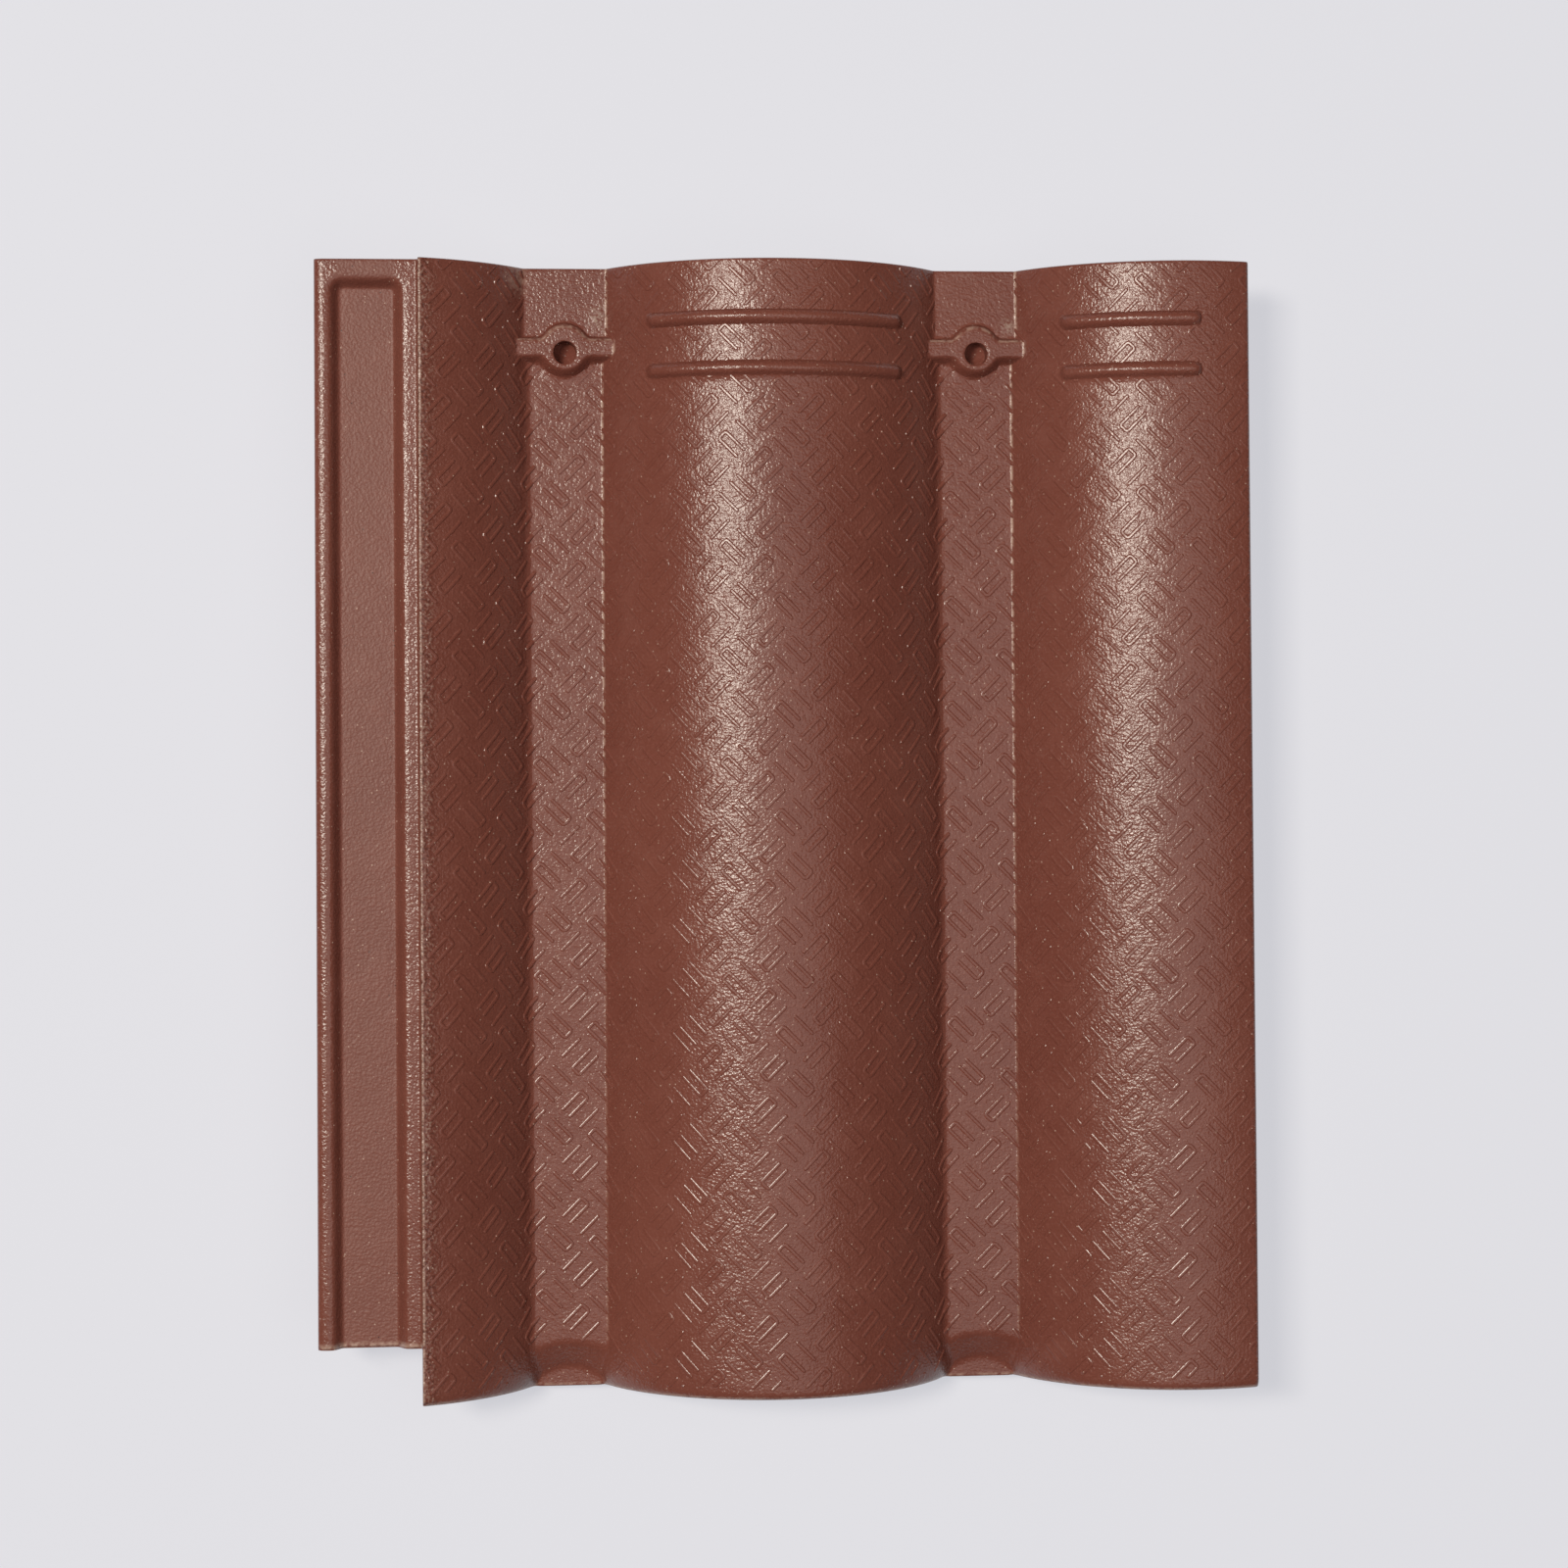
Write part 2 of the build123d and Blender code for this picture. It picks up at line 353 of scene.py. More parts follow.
channel_level = land_level - channel_depth
lock_underside = channel_level - lock_wall
lap_level = land_level + lap_clearance
lap_start = crowns[2] + next_reach - lap_clearance - lock_width
rib_level = channel_level + rib_clearance
rib_spread = (lap_level - rib_level) * channel_wall_run / channel_depth
rib_middle = (channel_left + channel_right) / 2 + 2 * roll_pitch
rib_head = channel_head - channel_wall_run - rib_clearance
batten_line = head - batten_from_head
lock_root = lapped_crown + math.sqrt((pan_radius - wall / 2) ** 2 - (lock_underside - pan_centre) ** 2)


def underside(x, y):
    level = floor_level(x, y) - wall - (nose_wall - wall) * nose_share(x, y)
    for crown in crowns:
        level = np.maximum(level, roll_level(x, y, crown, wall))
    level = np.where(x > lap_start, lap_level, level)
    rib = np.clip((np.abs(x - rib_middle) - rib_width / 2) / rib_spread, 0, 1)
    hang = rib_level + (lap_level - rib_level) * rib
    level = np.where((x > lap_start) & (y < rib_head), np.minimum(level, hang), level)
    level = np.where((x < lock_root) & (y > notch_end), np.minimum(level, lock_underside), level)
    level = np.where(x < body_left, lock_underside, level)
    slope = (y - batten_line - nib_tip) / (nib_root - nib_tip)
    nib = (pan_level - wall) * np.clip(slope, 0, 1)
    at_nib = (from_pan(x) < nib_width / 2) & (y > batten_line)
    return np.where(at_nib, np.minimum(level, nib), level)


# %% [markdown]
# ## From levels to a closed mesh
#
# Grid lines run across and along the tile, close together at edges and bosses and wide apart on plain lengths.
# Round each nail the square rings of the grid are pulled into circles, so the holes come out round.
# The underside uses only some of the same lines, and a ring of wall faces closes the slab between the two.

# %% Places of the grid lines
HAIR = 0.02 * MM
ring_reach = 10.5 * MM
ring_end = 12.9 * MM


def graded(knots):
    """Line places from knots, each a place and the spacing wanted there, in metres and millimetres."""
    knots = sorted(knots)
    places = [knots[0][0]]
    for (a, near_a), (b, near_b) in zip(knots, knots[1:]):
        count = max(1, round((b - a) / (MM * (near_a + near_b) / 2)))
        steps = np.linspace(near_a, near_b, count + 1)
        steps = (steps[1:] + steps[:-1]) / 2
        places.extend(a + (b - a) * np.cumsum(steps) / steps.sum())
    return places


def nail_knots(middle):
    """Close lines over a nail hole, with two that meet its wall exactly."""
    inner = bore - nail_draft
    return [(middle - bore, 0.5), (middle - inner, 0.5), (middle + inner, 0.7), (middle + bore, 0.5)]


def flank_reach(level):
    """Distance from the middle of a pan at which the rolls beside it reach a level."""
    return roll_pitch / 2 - math.sqrt(pan_radius**2 - (level - pan_centre) ** 2)


pad_reach = flank_reach(pan_level + pad_height)
bar_reach = flank_reach(boss_level)


def pan_knots(pan):
    half = pan_width / 2
    nib = nib_width / 2
    edge = boss_base / 2
    return [
        (pan - bar_reach - MM, 1.0), (pan - half - MM, 0.6),
        (pan - nib - HAIR, 0.6), (pan - nib + HAIR, 0.7),
        (pan - edge, 0.5), *nail_knots(pan), (pan + edge, 0.5),
        (pan + nib - HAIR, 0.7), (pan + nib + HAIR, 0.3),
        (pan + pad_reach + MM, 0.4), (pan + bar_reach + MM, 0.6),
    ]


def bar_end_knots(place, outward):
    inner = place - outward * 4 * MM
    outer = place + outward * 0.6 * MM
    return [(k, 0.5) for k in sorted((inner, outer))]


half_rib = rib_width / 2
lines_x = graded([
    (left_edge, 0.2), (left_edge + rim_round, 0.5), (channel_left - MM, 0.7),
    (channel_left + channel_wall_run + MM, 0.5), (channel_left + 9 * MM, 3), (channel_right - 9 * MM, 3),
    (channel_right - channel_wall_run - MM, 0.5), (channel_right + MM, 0.5), (body_left - step_fillet, 0.5),
    (body_left - HAIR, 0.2), (body_left, 0.2), (body_left + 1.5 * MM, 0.4),
    (body_left + 8 * MM, 2.5), (pans[0] - 20 * MM, 2),
    *pan_knots(pans[0]), (crowns[1] - 54 * MM, 2),
    *bar_end_knots(crowns[1] - weather_bar_reach, -1), (crowns[1] - 36 * MM, 3.2), (crowns[1] + 36 * MM, 3.2),
    *bar_end_knots(crowns[1] + weather_bar_reach, 1), (crowns[1] + 54 * MM, 2),
    *pan_knots(pans[1]), (crowns[2] - 54 * MM, 2),
    *bar_end_knots(crowns[2] - weather_bar_reach, -1), (crowns[2] - 36 * MM, 3.2),
    (lap_start - HAIR, 2.5), (lap_start + HAIR, 2.5), *bar_end_knots(crowns[2] + right_bar_reach, 1),
    (rib_middle - half_rib - rib_spread, 1.2), (rib_middle - half_rib, 1.2),
    (rib_middle + half_rib, 1.2), (rib_middle + half_rib + rib_spread, 1.2),
    (right_edge - right_edge_round, 0.7), (right_edge, 0.2),
])
lines_y = graded([
    (tail, 0.15), (tail + 1.2 * MM, 0.4), (tail + roll_tail_round, 0.8),
    (notch_end, 1.0), (notch_end + MM, 0.5),
    (tail + 34 * MM, 7), (bar_lines[1] - 12 * MM, 7),
    (bar_lines[1] - 3.2 * MM, 0.6), (bar_lines[1] + 3 * MM, 0.4),
    *nail_knots(nail_line), (bar_lines[0] - 3 * MM, 0.6), (bar_lines[0] + 3.2 * MM, 0.4),
    (batten_line - HAIR, 0.6), (batten_line + HAIR, 0.8), (rib_head - HAIR, 0.8), (rib_head + HAIR, 0.8),
    (channel_head - channel_wall_run - MM, 0.5), (batten_line + nib_tip, 0.5), (channel_head + MM, 0.5),
    (batten_line + nib_root, 0.6), (head - head_round, 0.5), (head, 0.15),
])
closest = min(np.diff(lines_x).min(), np.diff(lines_y).min())
print("grid lines:", len(lines_x), "across and", len(lines_y), "along, closest in mm:", round(closest / MM, 3))

# %% Round the grid over the nail holes


def rounded_grid(xs, ys):
    """Grid places, with the square rings over each nail pulled into circles."""
    x, y = np.meshgrid(np.array(xs), np.array(ys))
    for pan in pans:
        dx, dy = x - pan, y - nail_line
        ring = np.maximum(np.abs(dx), np.abs(dy))
        out = np.maximum(np.hypot(dx, dy), HAIR)
        pull = 1 - ramp(ring_reach, ring_end, ring)
        scale = 1 + pull * (ring / out - 1)
        slid = boss_offset * pull * ramp(bore, boss_top / 2, ring)
        x, y = pan + dx * scale, nail_line + dy * scale + slid
    return x, y


# %% Close the slab
underside_gap = 2.4 * MM
sharp_from = math.radians(38)


def kept_lines(lines, needed, gap):
    """Indices of lines for the underside: the needed ones, and others at least a gap apart."""
    places = np.array(lines)
    kept = [0]
    for i in range(1, len(places)):
        wanted = np.abs(np.array(needed) - places[i]).min() < HAIR * 1.5
        if wanted or places[i] - places[kept[-1]] > gap or i == len(places) - 1:
            kept.append(i)
    return kept


def slab_mesh(name):
    """Closed mesh of the tile: fine weather face, plainer underside, and walls between them."""
    nx, ny = len(lines_x), len(lines_y)
    x, y = rounded_grid(lines_x, lines_y)
    top = np.stack([x, y, weather_face(x, y)], axis=-1).reshape(-1, 3)
    flat_x, flat_y = np.meshgrid(np.array(lines_x), np.array(lines_y))
    low = np.stack([flat_x, flat_y, underside(flat_x, flat_y)], axis=-1).reshape(-1, 3)
    steps_x = [body_left - HAIR, body_left, lap_start - HAIR, lap_start + HAIR]
    steps_x += [rib_middle - half_rib, rib_middle + half_rib]
    for pan in pans:
        for edge in (pan - nib_width / 2, pan + nib_width / 2):
            steps_x += [edge - HAIR, edge + HAIR]
    steps_y = [notch_end, batten_line - HAIR, batten_line + HAIR, rib_head - HAIR, rib_head + HAIR,
               batten_line + nib_tip, batten_line + nib_root]
    keep_x = kept_lines(lines_x, steps_x, underside_gap)
    keep_y = kept_lines(lines_y, steps_y, underside_gap)
    step_i = int(np.argmin(np.abs(np.array(lines_x) - body_left)))
    step_j = int(np.argmin(np.abs(np.array(lines_y) - notch_end)))

    def cells(across, along):
        """Quads between chosen lines, leaving out the notch."""
        for j0, j1 in zip(along, along[1:]):
            for i0, i1 in zip(across, across[1:]):
                if i0 >= step_i or j0 >= step_j:
                    yield j0 * nx + i0, j0 * nx + i1, j1 * nx + i1, j1 * nx + i0

    shift = nx * ny
    faces = list(cells(range(nx), range(ny)))
    faces += [(a + shift, d + shift, c + shift, b + shift) for a, b, c, d in cells(keep_x, keep_y)]

    def side(fixed, along, kept, upright):
        """Wall faces on one straight side, each as wide as a gap between two underside lines."""
        index = (lambda k: k * nx + fixed) if upright else (lambda k: fixed * nx + k)
        for a, b in zip(kept, kept[1:]):
            if a in along and b in along:
                yield [index(k) for k in range(a, b + 1)] + [index(b) + shift, index(a) + shift]

    whole_x, whole_y = range(nx), range(ny)
    right = range(step_i, nx)
    above, below = range(step_j, ny), range(0, step_j + 1)
    faces += [f[::-1] for f in side(0, right, keep_x, False)]
    faces += [f[::-1] for f in side(nx - 1, whole_y, keep_y, True)]
    faces += list(side(ny - 1, whole_x, keep_x, False))
    faces += list(side(0, above, keep_y, True))
    faces += [f[::-1] for f in side(step_j, range(0, step_i + 1), keep_x, False)]
    faces += list(side(step_i, below, keep_y, True))

    points = np.concatenate([top, low])
    used = np.unique(np.concatenate([np.array(f) for f in faces]))
    renumber = np.full(len(points), -1)
    renumber[used] = np.arange(len(used))
    mesh = bpy.data.meshes.new(name)
    mesh.from_pydata(points[used].tolist(), [], [renumber[list(f)].tolist() for f in faces])
    mesh.validate()
    return mesh


slab = slab_mesh("tile_body")
slab.shade_smooth()
slab.set_sharp_from_angle(angle=sharp_from)
tile_body = bpy.data.objects.new("tile_body", slab)
bpy.context.scene.collection.objects.link(tile_body)
print("tile body:", len(slab.vertices), "points,", sum(len(p.vertices) - 2 for p in slab.polygons), "triangles")

# %% Check that the slab is closed and points outward
import bmesh

test = bmesh.new()
test.from_mesh(slab)
open_edges = sum(1 for e in test.edges if len(e.link_faces) != 2)
print("open edges:", open_edges, "volume in cubic mm:", round(test.calc_volume(signed=True) / MM**3))
test.free()

# %% [markdown]
# ## The fired coat
#
# The tile has a thin satin coat over sandy clay. It is brown-red, cloudy, and never one flat colour: the press
# leaves it a little paler in some places, and grit shows in it as pale specks, which also stand in for painted
# glints. It is scuffed paler along the body's left edge, across the lock's end and along the tail. The pale
# lines in the pans' right-hand creases are partly scuffing and partly painted highlight, strongest towards the
# head where the lamp is, and painted highlight lines run along the bars' head-side top edges and right ends.
# Dust sits on the head pads, the body's left edge is crusty, and the channel's floor is dull and has a few dark
# pores.
# Noise on Object coordinates gives the clouds and the grain. Where those marks lie depends on the shape, so the
# mesh carries them as attributes, and noise breaks their outlines up.

# %% Where dust, scuffing, painted highlight lines, crust and dullness lie
pad_start = boss_line + bar_base / 2
corner_dust = {"aside": 13 * MM, "ahead": 6 * MM, "wide": 6 * MM, "long": 9 * MM}
head_dust = {"aside": -2 * MM, "ahead": -2 * MM, "wide": 5 * MM, "long": 4 * MM}
head_scuff = {"aside": -18 * MM, "ahead": -4 * MM, "wide": 6 * MM, "long": 9 * MM}
# width of the pale lines in the pans' right-hand creases and down the bars' right ends, partly scuffing and
# partly painted highlight
scuff_glint_width = 0.7 * MM
# the crease lines are painted strongest towards the head, where the lamp is, and faint at the tail
crease_least = 0.25
crease_fades, crease_full = tail + 130 * MM, head - 90 * MM
# width of the painted highlight line along the head-side top edges of the bars and bosses
boss_rim = 1.8 * MM
crust_full, crust_end = 3 * MM, 7 * MM
# inset from an edge and width of the pale scuffed line along it
body_rub, body_rub_width = 0.5 * MM, 0.9 * MM
notch_rub, notch_rub_width = 0.9 * MM, 0.85 * MM
tail_rub, tail_rub_width = 0.8 * MM, 0.75 * MM


def band(place, middle, width):
    """1 on a line and 0 at a width from it."""
    return 1 - ramp(0, width, np.abs(place - middle))


def soft_spot(x, y, middle, end, size):
    """1 at the middle of a soft spot, whose place counts from a middle line and an end line."""
    across = band(x, middle + size["aside"], size["wide"])
    return across * band(y, end + size["ahead"], size["long"])


def surface_marks(mesh):
    """Gives every point of the slab its share of dust, of scuffing and painted highlight lines, of crust and of
    dullness.
    """
    points = np.empty(len(mesh.vertices) * 3)
    mesh.vertices.foreach_get("co", points)
    x, y, z = points.reshape(-1, 3).T
    above = z > underside(x, y) + wall / 3
    dust = np.zeros(len(x))
    wear_and_glint = np.zeros(len(x))
    on_pad = y > pad_start - MM
    for pan in pans:
        in_corner = soft_spot(x, y, pan, pad_start, corner_dust)
        at_head = 0.7 * soft_spot(x, y, pan, head, head_dust)
        dust = np.maximum(dust, on_pad * np.maximum(in_corner, at_head))
        foot = pan + np.where(on_pad, pad_reach, pan_width / 2)
        # painted highlight mixed with scuffing in the right-hand crease of each pan, fading away from the lamp
        # towards the tail
        share = crease_least + (1 - crease_least) * ramp(crease_fades, crease_full, y)
        crease_scuff_and_glint = band(x, foot, scuff_glint_width) * share
        # painted highlight down the right end of each bar
        bar_end_highlight = band(x, pan + bar_reach, scuff_glint_width) * (np.abs(y - boss_line) < bar_top / 2)
        wear_and_glint = np.maximum(wear_and_glint, crease_scuff_and_glint * (y > tail + nose_run) * (np.abs(y - boss_line) > bar_base / 2))
        # painted highlight along the top edges on the head side of the bars and bosses, the side that faces the
        # lamp
        on_bar = (y > boss_line) * (np.abs(x - pan) < bar_reach)
        top_edge_highlight = band(boss_flank(x, y, pan), boss_height, boss_rim) * on_bar
        wear_and_glint = np.maximum(wear_and_glint, np.maximum(bar_end_highlight, 0.8 * top_edge_highlight))
    wear_and_glint = np.maximum(wear_and_glint, 0.5 * soft_spot(x, y, pans[0], head, head_scuff))
    crust = (1 - ramp(crust_full, crust_end, x - body_left)) * (x > body_left)
    wear_and_glint = np.maximum(wear_and_glint, 0.7 * band(x, body_left + body_rub, body_rub_width))
    wear_and_glint = np.maximum(wear_and_glint, 0.8 * band(y, notch_end + notch_rub, notch_rub_width) * (x < body_left))
    wear_and_glint = np.maximum(wear_and_glint, 0.5 * band(y, tail + tail_rub, tail_rub_width))
    inside = np.minimum(x - channel_left, channel_right - x)
    dull = ramp(channel_wall_run / 2, channel_wall_run, inside) * (x < body_left)
    for name, share in (("dust", dust), ("wear_and_glint", wear_and_glint), ("crust", crust), ("dull", dull)):
        values = mesh.attributes.new(name, "FLOAT", "POINT")
        values.data.foreach_set("value", (share * above).astype(np.float32))
    print("points with dust:", int((dust * above > 0.3).sum()), "with wear:", int((wear_and_glint * above > 0.3).sum()))


surface_marks(slab)

# %% Helpers for node trees


def put(tree, kind, inputs=None, **settings):
    """Adds a node, sets its properties, and fills its inputs with values or with links."""
    node = tree.nodes.new(kind)
    for name, value in settings.items():
        setattr(node, name, value)
    for key, value in (inputs or {}).items():
        if isinstance(value, bpy.types.NodeSocket):
            tree.links.new(value, node.inputs[key])
        else:
            node.inputs[key].default_value = value
    return node


def maths(tree, operation, *values):
    """A math node on numbers or sockets, and its result."""
    return put(tree, "ShaderNodeMath", dict(enumerate(values)), operation=operation).outputs[0]


def noise(tree, place, scale, detail):
    return put(tree, "ShaderNodeTexNoise", {"Vector": place, "Scale": scale, "Detail": detail}).outputs[0]


def stretched(tree, value, low, high, most=1.0):
    """A value stretched so that low becomes 0 and high becomes the most."""
    return put(tree, "ShaderNodeMapRange", {
        "Value": value, "From Min": low, "From Max": high, "To Max": most}).outputs[0]


def grit(tree, place, scale, size, shares):
    """Two kinds of separate small specks, each in its own share of the cells of a random pattern."""
    cells = put(tree, "ShaderNodeTexVoronoi", {"Vector": place, "Scale": scale})
    drawn = put(tree, "ShaderNodeSeparateColor", {0: cells.outputs["Color"]})
    dot = stretched(tree, cells.outputs["Distance"], size, size / 2)
    for channel, share in enumerate(shares):
        yield maths(tree, "MULTIPLY", dot, maths(tree, "LESS_THAN", drawn.outputs[channel], share))


def tint(tree, amount, under, over):
    """One colour laid over another by an amount."""
    return put(tree, "ShaderNodeMix", {0: amount, 6: under, 7: over}, data_type="RGBA").outputs[2]


# %% The coat as a material
# colours in linear light
coat_red = (0.212, 0.068, 0.049, 1)
coat_deep = (0.190, 0.0585, 0.0425, 1)
coat_pale = (0.285, 0.107, 0.082, 1)
# pale of scuffed spots, also the colour of painted glints and highlight lines
scuff_and_glint_pale = (0.64, 0.46, 0.38, 1)
pale_dust = (0.42, 0.31, 0.26, 1)
pore_dark = (0.045, 0.018, 0.014, 1)
# how often each noise turns in a metre, and its detail
coat_noises = {"drift": (13, 2), "patch": (85, 2), "crumb": (480, 1), "sand": (1000, 1)}
grit_scale, grit_size, grit_shares = 560, 0.18, (0.2, 0.04)
specular_level = 0.50
satin_least, satin_most = 0.22, 0.34
rough_dust, rough_channel = 0.8, 0.5
# heights of the relief in millimetres
wave_relief, crumb_relief, heap_relief = 0.22, 0.07, 0.35
sand_relief, sand_lost_on_strokes = 0.24, -0.16


def clay_coat():
    coat = bpy.data.materials.new("fired_clay_coat")
    coat.use_nodes = True
    tree = coat.node_tree
    shader = tree.nodes["Principled BSDF"]
    place = put(tree, "ShaderNodeTexCoord").outputs["Object"]
    mark = {}
    for name in ("dust", "wear_and_glint", "crust", "dull", "polish"):
        mark[name] = put(tree, "ShaderNodeAttribute", attribute_name=name).outputs["Fac"]
    drift, patch, crumb, sand = (noise(tree, place, *kind) for kind in coat_noises.values())

    # clouds of the coat, then grit specks, which also stand in for painted glints
    colour = tint(tree, stretched(tree, drift, 0.35, 0.70), coat_red, coat_deep)
    colour = tint(tree, stretched(tree, patch, 0.48, 0.80, 0.25), colour, coat_pale)
    colour = tint(tree, stretched(tree, sand, 0.52, 0.85, 0.6), colour, coat_pale)
    specks, pits = grit(tree, place, grit_scale, grit_size, grit_shares)
    colour = tint(tree, maths(tree, "MULTIPLY", specks, 0.8), colour, scuff_and_glint_pale)
    colour = tint(tree, maths(tree, "MULTIPLY", pits, mark["dull"]), colour, pore_dark)

    # dust, scuffing with painted highlight lines, and crust, broken up by noise
    crumbs = stretched(tree, sand, 0.42, 0.60)
    heaps = maths(tree, "MULTIPLY", mark["dust"], stretched(tree, patch, 0.36, 0.62))
    dusty = maths(tree, "MULTIPLY", heaps, crumbs)
    # scuffing mixed with painted highlight lines along creases, bar ends and boss edges
    scuff_and_glint_share = maths(tree, "MULTIPLY", mark["wear_and_glint"], stretched(tree, crumb, 0.34, 0.56))
    colour = tint(tree, maths(tree, "MULTIPLY", dusty, 0.75), colour, pale_dust)
    colour = tint(tree, maths(tree, "MULTIPLY", scuff_and_glint_share, 0.75), colour, scuff_and_glint_pale)
    for low, high, over in ((0.56, 0.68, pale_dust), (0.45, 0.36, pore_dark)):
        crusty = maths(tree, "MULTIPLY", mark["crust"], stretched(tree, sand, low, high, 0.5))
        colour = tint(tree, crusty, colour, over)
    tree.links.new(colour, shader.inputs["Base Color"])

    # satin gloss, duller under dust and on the channel's floor
    gloss = put(tree, "ShaderNodeMapRange", {
        "Value": patch, "To Min": satin_least, "To Max": satin_most}).outputs[0]
    for amount, rough in ((dusty, rough_dust), (mark["dull"], rough_channel)):
        gloss = maths(tree, "MAXIMUM", gloss, maths(tree, "MULTIPLY", amount, rough))
    tree.links.new(gloss, shader.inputs["Roughness"])

    # relief: faint waves of pressed clay, sandy grain, and coarser crumbs in dust and crust
    relief = maths(tree, "MULTIPLY", patch, wave_relief)
    heaped = maths(tree, "MAXIMUM", heaps, mark["crust"])
    coarse = maths(tree, "MULTIPLY_ADD", heaped, heap_relief, crumb_relief)
    grain = maths(tree, "MULTIPLY_ADD", mark["polish"], sand_lost_on_strokes, sand_relief)
    for height, share in ((crumb, coarse), (sand, grain)):
        relief = maths(tree, "MULTIPLY_ADD", height, share, relief)
    bump = put(tree, "ShaderNodeBump", {"Height": relief, "Strength": 1.0, "Distance": MM})
    tree.links.new(bump.outputs[0], shader.inputs["Normal"])
    shader.inputs["Specular IOR Level"].default_value = specular_level
    return coat


coat = clay_coat()
slab.materials.append(coat)
print("coat nodes:", len(coat.node_tree.nodes))

# %% [markdown]
# ## The raised strokes
#
# The weather face is covered by a basket weave of fine raised strokes. Each block of the weave has a narrow
# hairpin with a single stroke beside it, and its neighbours are the same block in quarter turns.
# They could be carved into the mesh one by one, but the weave is a rule, so a node tree draws it: one block,
# repeated on two lattices in the flat, one for the strokes that rise to the right and one for those that fall.
# A carrier sheet then says, for each place on the flat pattern, where that place lies on the rolls and pans.

# %% Carrier sheet for the flat pattern
roll_foot = (roll_pitch - pan_width) / 2
half_arc = pan_radius * math.asin(roll_foot / pan_radius)
flat_pitch = 2 * half_arc + pan_width


def flat_place(x):
    """Distance along the section from the middle crown, over the rolls and the pan floors."""
    turn = np.round((x - crowns[1]) / roll_pitch)
    away = x - crowns[1] - turn * roll_pitch
    on_arc = np.clip(away, -roll_foot, roll_foot)
    return turn * flat_pitch + pan_radius * np.arcsin(on_arc / pan_radius) + away - on_arc


def carrier_mesh():
    xs = np.array([x for x in lines_x if x >= body_left])
    ys = np.array(graded([(tail, 1), (tail + 30 * MM, 1.5), (tail + 50 * MM, 20), (head, 20)]))
    x, y = np.meshgrid(xs, ys)
    points = np.stack([x, y, plain_face(x, y)], axis=-1).reshape(-1, 3)
    nx, ny = len(xs), len(ys)
    corner = (np.arange(ny - 1)[:, None] * nx + np.arange(nx - 1)).reshape(-1)
    faces = np.stack([corner, corner + 1, corner + nx + 1, corner + nx], axis=-1)
    mesh = bpy.data.meshes.new("stroke_carrier")
    mesh.from_pydata(points.tolist(), [], faces.tolist())
    mesh.shade_smooth()
    flat = mesh.attributes.new("flat_place", "FLOAT_VECTOR", "POINT")
    places = np.stack([flat_place(x), y, np.zeros_like(x)], axis=-1).astype(np.float32)
    flat.data.foreach_set("vector", places.reshape(-1))
    return mesh


# %% Sizes of the weave
stroke_sizes = {
    "Pitch Across": 19.8 * MM,
    "Pitch Along": 19.9 * MM,
    "First Across": 14.35 * MM,
    "First Along": 33.6 * MM,
    "Stroke Length": 10.2 * MM,
    "Stroke Width": 1.8 * MM,
    "Stroke Height": 0.32 * MM,
    "Outer Offset": 4.65 * MM,
    "Inner Offset": 1.0 * MM,
    "Hairpin Round": 0.9 * MM,
}
flat_left, flat_right = (float(flat_place(np.float64(x))) for x in (body_left, right_edge))
flat_pans = [float(flat_place(np.float64(pan))) for pan in pans]
blocks = {"Across": 21, "Along": 25}
block_reach = 7.0 * MM
pan_bare = 12.0 * MM
left_margin = 1.6 * MM
right_margin = 1.0 * MM
tail_margin = 3.8 * MM
head_margin = 0.9 * MM
deepest = 1.0 * MM
nail_clear = 1.5 * MM
nose_clear = 1.5 * MM
print("weave runs in mm from the middle crown:", [round(flat / MM, 1) for flat in (flat_left, flat_right)])

# %% Nodes for one stroke


def stroke_curve(tree, places, sides, half):
    """A stroke's middle line: points at shares of its half length, at offsets across the block."""
    line = put(tree, "GeometryNodeMeshLine", {"Count": len(places)}).outputs[0]
    index = put(tree, "GeometryNodeInputIndex").outputs[0]
    picked = []
    for values in (places, sides):
        switch = put(tree, "GeometryNodeIndexSwitch", data_type="FLOAT")
        while len(switch.index_switch_items) < len(values):
            switch.index_switch_items.new()
        for slot, value in enumerate([index, *values]):
            if isinstance(value, bpy.types.NodeSocket):
                tree.links.new(value, switch.inputs[slot])
            else:
                switch.inputs[slot].default_value = value
        picked.append(switch.outputs[0])
    spot = put(tree, "ShaderNodeCombineXYZ", {"X": maths(tree, "MULTIPLY", picked[0], half), "Y": picked[1]})
    placed = put(tree, "GeometryNodeSetPosition", {"Geometry": line, "Position": spot.outputs[0]}).outputs[0]
    return put(tree, "GeometryNodeMeshToCurve", {"Mesh": placed}).outputs[0]


arch_across = [-1.0, -0.64, -0.3, 0.3, 0.64, 1.0]
arch_up = [-0.4, 0.74, 1.0, 1.0, 0.74, -0.4]


